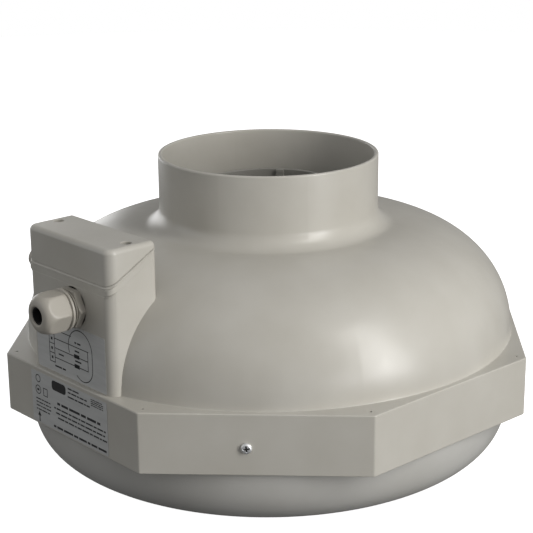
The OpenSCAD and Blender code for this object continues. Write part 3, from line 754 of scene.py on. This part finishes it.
def gland_nut_shape():
    profile = [(13.7, 8.0, False), (14.1, 8.2, False), (14.25, 8.6, False), (14.25, 9.3, False)]
    profile += [(14.1, 9.7, False), (13.6, 9.9, False), (12.75, 10.1, True), (13.3, 10.4, True)]
    profile += [(14.25, 11.2, True), (14.3, 13, True), (14.3, 15, True), (14.3, 17, True)]
    for a in range(0, 88, 7):
        t = math.radians(a)
        profile.append((8.2 + 6.05 * math.cos(t), 19 + 9.7 * math.sin(t), True))
    profile += [(8.0, 28.85, False), (7.4, 29.0, False), (6.6, 28.95, False), (6.1, 28.6, False)]
    profile += [(5.9, 28.0, False), (5.9, 25.5, False), (8.3, 25.5, False), (8.3, 19.2, False)]
    z = 19.0
    while z > 9.0:
        profile += [(10.25, z, False), (10.25, z - 0.5, False)]
        profile += [(10.6, z - 0.75, False), (10.6, z - 1.0, False)]
        z -= 1.5
    profile += [(10.3, 8.2, False), (10.8, 8.0, False)]
    return in_gland(hexed(profile))


def gland_body_shape():
    profile = [(14.0, 0.0, True), (14.4, 0.4, True), (14.4, 3.9, True), (14.1, 4.4, True)]
    profile += [(13.2, 5.0, True), (12.0, 5.05, False), (12.0, 5.8, False), (11.8, 6.0, False)]
    profile.append((9.9, 6.0, False))
    z = 7.6
    while z < 15.0:
        profile += [(9.9, z, False), (9.9, z + 0.4, False), (9.3, z + 0.8, False), (9.3, z + 1.0, False)]
        z += 1.5
    profile += [(9.6, 15.9, False), (9.4, 16.0, False), (8.1, 16.0, False), (8.0, 15.8, False)]
    profile += [(8.0, 9.0, False), (6.5, 8.6, False), (6.5, -7.7, False), (6.7, -8.0, False)]
    z = -8.0
    while z < -1.0:
        profile += [(9.4, z, False), (9.9, z + 0.5, False), (9.9, z + 0.9, False), (9.4, z + 1.3, False)]
        z += 1.6
    profile += [(9.9, -0.05, False), (13.6, 0.0, False)]
    return in_gland(hexed(profile))


def gland_seal_shape():
    """Ribbed rubber sleeve that grips the cable."""
    profile = rounded([(7.85, 9.1, 0.4), (7.85, 25.4, 0.3), (5.8, 25.4, 0.1), (5.8, 28.2, 0.5),
                       (5.0, 28.2, 0.4), (5.25, 24, 0.8)], 4)
    for z in (22, 19.5, 17, 14.5, 12):
        profile += [(5.3, z), (5.75, z - 0.6), (5.75, z - 1.3), (5.3, z - 1.9)]
    profile.append((5.3, 9.1))
    return in_gland(lathe(profile, 64))


def blanking_plug_shape():
    """Round-headed plug with a coin slot, on the side of the box."""
    profile = [(3.6, -4.0), (4.0, -3.6), (4.0, 0.05), (6.7, 0.05), (7.0, 0.35), (7.0, 4.6)]
    profile += arc(5.2, 4.9, 1.8, 0, 90, 6)[1:] + [(3.0, 6.95), (0.2, 7.0)]
    head = carve(lathe(profile, 64, closed=False), block((-5, -0.7, 5.7), (5, 0.7, 8)))
    return moved(head, Matrix.Translation(PLUG) @ turn(-90, "Y"))


piece("gland_nut_detail", gland_nut_shape(), "gland_nut", "gland_plastic", "gland_nut", angle=38)
piece("gland_body_detail", gland_body_shape(), "casing", "gland_plastic", "gland_body", angle=38)
piece("gland_seal_detail", gland_seal_shape(), "casing", "rubber", "gland_seal")
washer = tube(11, 9.95, 6.06, 7.19, segments=64)
piece("gland_washer_detail", in_gland(washer), "casing", "rubber", "gland_washer")
piece("blanking_plug_detail", blanking_plug_shape(), "casing", "gland_plastic", "blanking_plug")
locknut = hexed([(12.9, -7.0, True), (13.4, -6.6, True), (13.4, -3.0, True), (12.9, -2.6, True),
                 (10.2, -2.6, False), (9.97, -3.0, False), (9.97, -6.6, False), (10.2, -7.0, False)], 23.4)
piece("gland_locknut_detail", in_gland(locknut), "casing", "gland_plastic", "gland_locknut")


# ---------- labels ----------

def sticker(x0, x1, z0, z1, face_y, thickness=0.25):
    """Thin label with rounded corners on a face that looks along -Y."""
    outline = rounded([(x0, z0, 1.2), (x1, z0, 1.2), (x1, z1, 1.2), (x0, z1, 1.2)], 5)
    return moved(prism(outline, 0.0, thickness), shift(0, face_y, 0) @ turn(90, "X"))


def bar(x0, z0, x1, z1):
    return prism([(x0, z0), (x1, z0), (x1, z1), (x0, z1)], 0.0, 1.0)


def stroke(points, width):
    """Printed line through points, as a chain of thin bars."""
    shapes = []
    for (x0, z0), (x1, z1) in zip(points, points[1:]):
        along = Vector((x1 - x0, z1 - z0)).normalized() * width / 2
        side = Vector((-along.y, along.x))
        a, b = Vector((x0, z0)) - along, Vector((x1, z1)) + along
        shapes.append(prism([tuple(a - side), tuple(b - side), tuple(b + side), tuple(a + side)], 0.0, 1.0))
    return merged(*shapes)


def loop(points, width):
    return stroke(points + points[:1], width)


def words(x0, x1, z, height, seed):
    """Row of short bars that stands for a line of small print."""
    shapes, x, k = [], x0, seed
    while x < x1 - height:
        length = height * (1.2 + (k * 7 % 5) * 0.75)
        end = min(x + length, x1)
        shapes.append(bar(x, z, end, z + height * 0.62))
        x = end + height * 0.45
        k += 1
    return merged(*shapes)


def printing(name, shapes, face_y, thickness=0.03):
    flat = Matrix.Diagonal((1, 1, thickness, 1))
    shape = moved(merged(*shapes), shift(0, face_y, 0) @ turn(90, "X") @ flat)
    return piece(name, shape, "casing", "label", material=INK)


def wiring_print():
    line = 0.62
    shapes = [loop([(-24.5, 127.5), (-18.5, 127.5), (-18.5, 152), (-24.5, 152)], line)]
    shapes += [stroke([(-24.5, z), (-18.5, z)], line) for z in (133.9, 140.6, 147.5)]
    shapes += [bar(-22.6, z - 1.0, -20.6, z + 1.0) for z in (130.6, 137.2, 144.0)]
    for z, start, end in ((131.2, -18.7, 19.1), (138, -18.5, 19.6), (144.8, -18, 20), (151, -18.5, 1)):
        shapes.append(stroke([(start, z), (end, z)], line))
    shapes.append(stroke([(19.6, 131.2), (19.6, 144.8)], line))
    motor = arc(11.3, 144, 13.3, 200, 0, 20) + arc(13.5, 133.5, 11.1, 0, -130, 14)
    shapes.append(stroke(motor, line))
    shapes += [bar(4, z - 1.4, 10, z + 1.4) for z in (131.4, 138.3)]
    shapes += [words(5, 12, z, 1.9, k) for k, z in enumerate((147.2, 141.4, 134.4))]
    shapes += [words(-14, -7.5, 134.2, 1.7, 4), words(-19, -5, 124.6, 1.9, 2)]
    return shapes


def rating_print():
    line = 0.6
    shapes = [loop(arc(-36, 112, 2.6, 0, 360, 20)[:-1], line)]
    shapes.append(loop(arc(-36.3, 103.8, 3.0, 0, 360, 20)[:-1], line))
    shapes.append(bar(-37.6, 103, -35, 104.6))
    shapes.append(loop([(-30, 101), (-25.5, 101), (-25.5, 106.4), (-30, 106.4)], line))
    badge = [(-19.6, 108.6, 2.4), (-3.2, 108.6, 2.4), (-3.2, 115.6, 2.4), (-19.6, 115.6, 2.4)]
    shapes.append(prism(rounded(badge), 0, 1))
    shapes += [words(-0.5, 13.5, 114.2, 1.7, 1), words(-0.7, 21, 111.4, 1.7, 3)]
    shapes.append(words(-1, 24, 108.2, 1.7, 2))
    shapes += [words(25.5, 39, 114.4 - 1.35 * k, 1.1, k) for k in range(4)]
    shapes += [words(-39.5, -22, 96.6 - 2.6 * k, 1.4, k + 2) for k in range(4)]
    shapes.append(words(-14, 36, 99.0, 2.9, 0))
    shapes += [words(-18 + 2 * k, 42, 95.4 - 3.25 * k, 1.8, k) for k in range(3)]
    shapes.append(words(-19.5, 41, 81.4, 2.5, 5))
    shapes.append(stroke([(-36.3, 80.8), (-36.3, 85.6)], 1.1))
    shapes.append(prism([(-38.3, 84.6), (-34.3, 84.6), (-36.3, 88)], 0, 1))
    return shapes


piece("wiring_label_detail", sticker(-39, 39, 120.6, 159, BOX_FRONT_Y), "casing", "label", "wiring_label")
piece("rating_label_detail", sticker(-44, 43, 79.5, 117, -HALF_FLATS), "casing", "label", "rating_label")
printing("wiring_print", wiring_print(), BOX_FRONT_Y - 0.24)
printing("rating_print", rating_print(), -HALF_FLATS - 0.24)


# ---------- motor carrier and inlet ring ----------

def vane_shape():
    """Guide vane between the hub and the outer ring, with a rounded top edge."""
    z0, z1, half = CARRIER_Z + 2, 172.0, 1.25
    section = [(-half, z0), (half, z0)] + arc(0, z1 - half, half, 0, 180, 6)
    inner = [(HUB_R - 3.5, y, z) for y, z in section]
    outer = [(140.4, y, z) for y, z in section]
    return moved(loft([inner, outer]), shift(0, 13.25, 0))


def motor_carrier_shape():
    floor = [(20, CARRIER_Z), (55.4, CARRIER_Z), (56, 136.6), (56, 144)]
    cup = floor + arc(80, 160, 30, 200, 180, 4) + arc(HUB_R - 0.8, HUB_TOP_Z - 0.8, 0.8, 0, 90, 3)
    cup += arc(HUB_R - 1.7, HUB_TOP_Z - 0.8, 0.8, 90, 180, 3) + [(47.5, 180)]
    cup += arc(46, CARRIER_Z + 4.5, 1.5, 0, -90, 4) + [(20, CARRIER_Z + 3)]
    hub = lathe(cup, 128)
    rib = softened(block((44.5, -3, CARRIER_Z + 1), (48.2, 3, HUB_TOP_Z - 0.3)), 0.5)
    hub = weld(hub, *(moved(rib, turn(37 + 90 * k)) for k in range(4)))
    ring = tube(141, 138.5, CARRIER_Z + 2, CARRIER_Z + 10, 0.6, 128)
    tab_outline = rounded([(-11, -8, 0.8), (0.1, -8, 7.9), (8, 0, 7.9), (0.1, 8, 7.9), (-11, 8, 0.8)])
    tab = softened(prism(tab_outline, TAB_LOW_Z, TAB_HIGH_Z), 0.5)
    ring = weld(ring, *(moved(tab, turn(45 + 90 * k) @ shift(TAB_SCREW_R, 0, 0)) for k in range(4)))
    vanes = merged(*(moved(vane_shape(), turn(-90 + 45 * k)) for k in range(8)))
    carrier = weld(weld(hub, vanes), ring)
    window = moved(rod(4, 38, 62, 32), shift(LEAD_HOLE[0], 0, 152) @ turn(90, "X"))
    return carve(carrier,
                 around(rod(2.2, 135, 141, 24), 4, MOTOR_SCREW_R, 45),
                 around(rod(2.2, 136, 144, 24), 4, TAB_SCREW_R, 45),
                 moved(rod(3.5, 135, 141, 24), shift(LEAD_HOLE[0], -28, 0)),
                 window)


def inlet_ring_shape():
    """Bell mouth pressed from sheet, its inner end rounded."""
    throat, bell, outer = 63.0, 29.0, 108.0
    top = INLET_SEAT_Z + INLET_SHEET
    centre = (throat + bell, INLET_SEAT_Z + bell)
    profile = [(outer, top - 0.4), (outer, INLET_SEAT_Z + 0.4), (outer - 0.4, INLET_SEAT_Z)]
    profile += arc(*centre, bell, -90, -180, 18)
    profile += arc(throat + INLET_SHEET / 2, 70 - INLET_SHEET / 2, INLET_SHEET / 2, 180, 0, 6)
    profile += arc(*centre, bell - INLET_SHEET, -180, -90, 18)
    profile.append((outer - 0.4, top))
    return carve(lathe(profile, 144), around(rod(1.8, 28, 34, 20), 4, INLET_SCREW_R))


piece("motor_carrier_detail", motor_carrier_shape(), "casing", "carrier_plastic", "motor_carrier")
piece("inlet_ring_detail", inlet_ring_shape(), "casing", "carrier_plastic", "inlet_ring")


# ---------- impeller and rotor ----------

SHROUD_C = (82.0, 70.0)
SHROUD_TURN = 14.0
SHROUD_SLOPE = math.radians(20)
KNEE = (
    SHROUD_C[0] - SHROUD_TURN * math.sin(SHROUD_SLOPE),
    SHROUD_C[1] + SHROUD_TURN * math.cos(SHROUD_SLOPE),
)
SHROUD_OUT_Z = KNEE[1] + (IMPELLER_R - KNEE[0]) * math.tan(SHROUD_SLOPE)


def shroud_z(radius):
    """Height of the shroud's inner surface at a radius."""
    if radius < KNEE[0]:
        return SHROUD_C[1] + math.sqrt(SHROUD_TURN ** 2 - (SHROUD_C[0] - radius) ** 2)
    return KNEE[1] + (radius - KNEE[0]) * math.tan(SHROUD_SLOPE)


def blade_shape(centre=72.0, radius=70.0, half=1.0):
    """Backward-curved blade, its lower edge sunk a little into the shroud."""
    ends = []
    for r in (111.4, 70.2):
        ends.append(math.acos((r * r - centre ** 2 - radius ** 2) / (2 * centre * radius)))
    rings, steps = [], 16
    for i in range(steps + 1):
        a = ends[0] + (ends[1] - ends[0]) * i / steps
        taper = half * (0.35 if i in (0, steps) else 1.0)
        ring = []
        for offset, up in ((-taper, 0), (taper, 0), (taper, 1), (-taper, 1)):
            x = centre + (radius + offset) * math.cos(a)
            y = (radius + offset) * math.sin(a)
            low = shroud_z(min(max(math.hypot(x, y), 68.6), 111.9)) - 0.4
            ring.append((x, y, BACKPLATE_Z + 0.4 if up else low))
        rings.append(ring)
    return loft(rings)


def impeller_shape():
    plate = tube(IMPELLER_R, 51.3, BACKPLATE_Z, BACKPLATE_Z + 3, 0.7, 144)
    wheel = weld(plate, *(moved(blade_shape(), turn(40 * k)) for k in range(9)))
    return carve(wheel, around(rod(1.7, 116, 123, 20), 6, WHEEL_SCREW_R))


def shroud_shape():
    profile = [(69.4, 64.0), (68.4, 64.2), (68.0, 64.8)]
    profile += arc(*SHROUD_C, SHROUD_TURN, 180, 110, 10) + [(IMPELLER_R - 0.3, SHROUD_OUT_Z - 0.1)]
    thick = 2.0 / math.cos(SHROUD_SLOPE)
    profile += [(IMPELLER_R, SHROUD_OUT_Z - 0.5), (IMPELLER_R, SHROUD_OUT_Z - thick + 0.4)]
    profile += [(IMPELLER_R - 0.4, SHROUD_OUT_Z - thick)]
    profile += arc(*SHROUD_C, SHROUD_TURN - 2.0, 110, 180, 10)
    return lathe(profile, 144)


def rotor_shell_shape():
    """Deep-drawn cup, its closed end with a stepped face and a raised hub."""
    profile = [(5.02, 80.0), (9.5, 80.0), (10.2, 80.5), (10.6, 81.3), (19.4, 81.3), (20.0, 80.9)]
    profile += [(20.4, 80.2), (21.0, 80.0), (38.0, 80.0), (38.6, 80.2), (39.0, 80.6), (42.6, 80.6)]
    profile += [(43.0, 80.2), (43.6, 80.0)] + arc(46, 85, 5, -90, 0, 8)
    profile += [(51, 120.2)] + arc(51.8, 120.2, 0.8, 180, 90, 3) + arc(61.4, 121.6, 0.6, -90, 0, 3)
    profile += [(62, 122.4), (61.4, 123), (50.5, 123), (49.4, 122.6), (49, 121.8)]
    profile += arc(46, 85, 3, 0, -90, 6) + [(10, 82.6), (10, 88.5), (5.02, 88.5)]
    vent = rounded([(-3, -2.6, 2.4), (3, -2.6, 2.4), (3, 2.6, 2.4), (-3, 2.6, 2.4)], 4)
    vents = around(prism(vent, 78, 84), 6, 30, 30)
    return carve(lathe(profile, 128), around(rod(1.8, 119, 125, 20), 6, WHEEL_SCREW_R), vents)


piece("impeller_detail", impeller_shape(), "rotor", "impeller_plastic", "impeller")
piece("impeller_shroud_detail", shroud_shape(), "rotor", "impeller_plastic", "impeller_shroud")
piece("rotor_shell_detail", rotor_shell_shape(), "rotor", "rotor_paint", "rotor_shell")


# ---------- inside the terminal box ----------

def terminal_block_shape():
    """Four-pole strip with barriers between the poles and a cage entry on each side."""
    base = softened(block((-30, -169, 190), (-6, -157, 199.5)), 0.5)
    fins = [block((x, -168.8, 199), (x + 1.0, -157.2, 203)) for x in (-30, -24.5, -18.5, -12.5, -7)]
    fins = [softened(fin, 0.3) for fin in fins]
    towers = [block((6 * k - 29, -166.5, 199), (6 * k - 25, -159.5, 202.2)) for k in range(4)]
    towers = [softened(tower, 0.4) for tower in towers]
    strip = weld(weld(base, *towers), *fins)
    poles = [(-27 + 6 * k, -163) for k in range(4)]
    entries = [moved(rod(1.6, -8, 8, 24), shift(x, y, 194) @ turn(90, "X")) for x, y in poles]
    return carve(carve(strip, at_points(rod(2.1, 198, 204, 24), poles)), *entries)


def capacitor_shape():
    """Cylindrical capacitor with a crimped end and two pins."""
    profile = [(0.3, 0.0), (8.2, 0.0), (8.6, 0.6), (9.4, 0.9)] + arc(9.8, 1.9, 1.0, -90, 0, 4)
    profile += [(11, 4.2), (10.5, 4.8), (10.5, 5.6), (11, 6.2), (11, 29.6)]
    profile += arc(9.6, 29.6, 1.4, 0, 90, 5)[1:] + [(0.3, 31.0)]
    can = lathe(profile, 72, closed=False)
    pins = merged(*(moved(rod(1.4, -2.5, 0.5, 20), shift(0, y, 0)) for y in (-3.5, 3.5)))
    return moved(weld(can, pins), shift(0, -157, 201) @ turn(90, "Y"))


LEAD_ROUTE = [
    (-8, -28, 123), (-8, -28, 134), (-8, -30, 144), (-8, -38, 151), (-8, -52, 152), (-8, -80, 152),
    (-8, -110, 152), (-8, -132, 152), (-8, -143, 155), (-8, -148, 163), (-8, -148, 171),
    (-8, -148, 181), (-8, -148, 190), (-10, -149.5, 195), (-14, -153, 197), (-15, -156, 197),
]
wires = [
    sweep([(-2.8, -157 + 3.5 * s, 201), (-4.2, -157 + 3.5 * s, 201),
           (-5, -159 + 2 * s, 203.5 + s), (-5.2, -162 + 2 * s, 206 + s)], 0.8, 6, 14)
    for s in (-1, 1)
]
grommet = lathe(rounded([(4.55, 171, 0.4), (4.55, 187.4, 0.3), (6, 187.6, 0.3), (6, 189, 0.5),
                         (2.9, 189, 0.5), (2.9, 171, 0.4)], 3), 48)

piece("terminal_block_detail", terminal_block_shape(), "casing", "terminal_plastic", "terminal_block")
piece("capacitor_detail", capacitor_shape(), "casing", "capacitor_shell", "capacitor")
piece("motor_lead_detail", sweep(LEAD_ROUTE, 2.6), "casing", "cable_sheath", "motor_lead")
piece("inner_wires_detail", merged(*wires), "casing", "wire_insulation", "inner_wires")
piece("lead_grommet_detail", moved(grommet, shift(*LEAD_HOLE, 0)), "casing", "rubber", "lead_grommet")


# ---------- camera, floor and light ----------

def add_camera():
    azimuth, elevation, roll = math.radians(48.0), math.radians(17.03), math.radians(-0.48)
    back = Vector((
        math.sin(azimuth) * math.cos(elevation),
        -math.cos(azimuth) * math.cos(elevation),
        math.sin(elevation),
    ))
    level = Vector((math.cos(azimuth), math.sin(azimuth), 0))
    raised = back.cross(level)
    right = math.cos(roll) * level + math.sin(roll) * raised
    up = math.cos(roll) * raised - math.sin(roll) * level
    data = bpy.data.cameras.new("camera")
    data.sensor_width = 36
    data.lens = 99.1
    camera = bpy.data.objects.new("camera", data)
    turned = Matrix((right, up, back)).transposed().to_4x4()
    camera.matrix_world = Matrix.Translation((0.76394, -0.69035, 0.47681)) @ turned
    bpy.context.scene.collection.objects.link(camera)
    bpy.context.scene.camera = camera


def add_softbox(name, azimuth, elevation, distance, size, power, color=(1, 1, 1)):
    """Area light that looks at the middle of the fan; azimuth as for the camera."""
    a, e = math.radians(azimuth), math.radians(elevation)
    away = Vector((math.sin(a) * math.cos(e), -math.cos(a) * math.cos(e), math.sin(e)))
    data = bpy.data.lights.new(name, "AREA")
    data.shape = "RECTANGLE"
    data.size, data.size_y = size
    data.energy = power
    data.color = color
    light = bpy.data.objects.new(name, data)
    light.location = Vector((0, 0, 0.13)) + away * distance
    light.rotation_euler = away.to_track_quat("Z", "Y").to_euler()
    bpy.context.scene.collection.objects.link(light)


def add_floor():
    """Pale round floor just under the inlet rim: it throws no light up and is clear from below."""
    disc = [Vector(p) for p in circle(2400, -0.05, 96)]
    floor = raw_object("floor", (disc, [tuple(range(96))]), MM)
    if floor.data.polygons[0].normal.z < 0:
        floor.data.flip_normals()
    g = Graph("floor_paint", (0.86, 0.86, 0.86), 1.0)
    paint = g.blended(g.noise(300, 2), (0.85, 0.85, 0.85), (0.88, 0.88, 0.88))
    g.link(paint, g.shader.inputs["Base Color"])
    g.shader.inputs["Emission Color"].default_value = (1, 1, 1, 1)
    g.shader.inputs["Emission Strength"].default_value = 0.88
    sides = g.add("ShaderNodeMixShader")
    g.link(g.add("ShaderNodeNewGeometry").outputs["Backfacing"], sides.inputs["Fac"])
    g.link(g.shader.outputs["BSDF"], sides.inputs[1])
    g.link(g.add("ShaderNodeBsdfTransparent").outputs["BSDF"], sides.inputs[2])
    g.link(sides.outputs["Shader"], g.tree.nodes["Material Output"].inputs["Surface"])
    floor.data.materials.append(g.material)
    floor.visible_diffuse = False
    floor.visible_glossy = False


def add_world():
    """White backdrop for the camera; for the object a dim sky, dimmer still from below."""
    world = bpy.data.worlds.new("studio")
    world.use_nodes = True
    tree = world.node_tree
    background = tree.nodes["Background"]
    background.inputs["Color"].default_value = (1, 1, 1, 1)
    direction = tree.nodes.new("ShaderNodeTexCoord")
    axes = tree.nodes.new("ShaderNodeSeparateXYZ")
    sky = tree.nodes.new("ShaderNodeMapRange")
    for name, value in (("From Min", -0.5), ("From Max", 0.6), ("To Min", 0.08), ("To Max", 0.40)):
        sky.inputs[name].default_value = value
    ray = tree.nodes.new("ShaderNodeLightPath")
    strength = tree.nodes.new("ShaderNodeMapRange")
    strength.inputs["To Max"].default_value = 1.0
    tree.links.new(direction.outputs["Generated"], axes.inputs["Vector"])
    tree.links.new(axes.outputs["Z"], sky.inputs["Value"])
    tree.links.new(sky.outputs["Result"], strength.inputs["To Min"])
    tree.links.new(ray.outputs["Is Camera Ray"], strength.inputs["Value"])
    tree.links.new(strength.outputs["Result"], background.inputs["Strength"])
    bpy.context.scene.world = world


add_camera()
add_floor()
add_world()
add_softbox("key", 98, 26, 1.6, (0.45, 1.4), 16, (1.0, 0.985, 0.955))
add_softbox("strip", 101, 8, 1.6, (0.12, 0.9), 3.5)
add_softbox("left_fill", -35, 15, 1.8, (1.4, 1.0), 3.4, (0.97, 0.99, 1.0))
add_softbox("low_fill", 92, 3, 1.5, (1.0, 0.25), 3.4)
add_softbox("rim", -100, 3, 1.8, (1.2, 0.7), 5.5)
bpy.context.scene.view_settings.view_transform = "Standard"
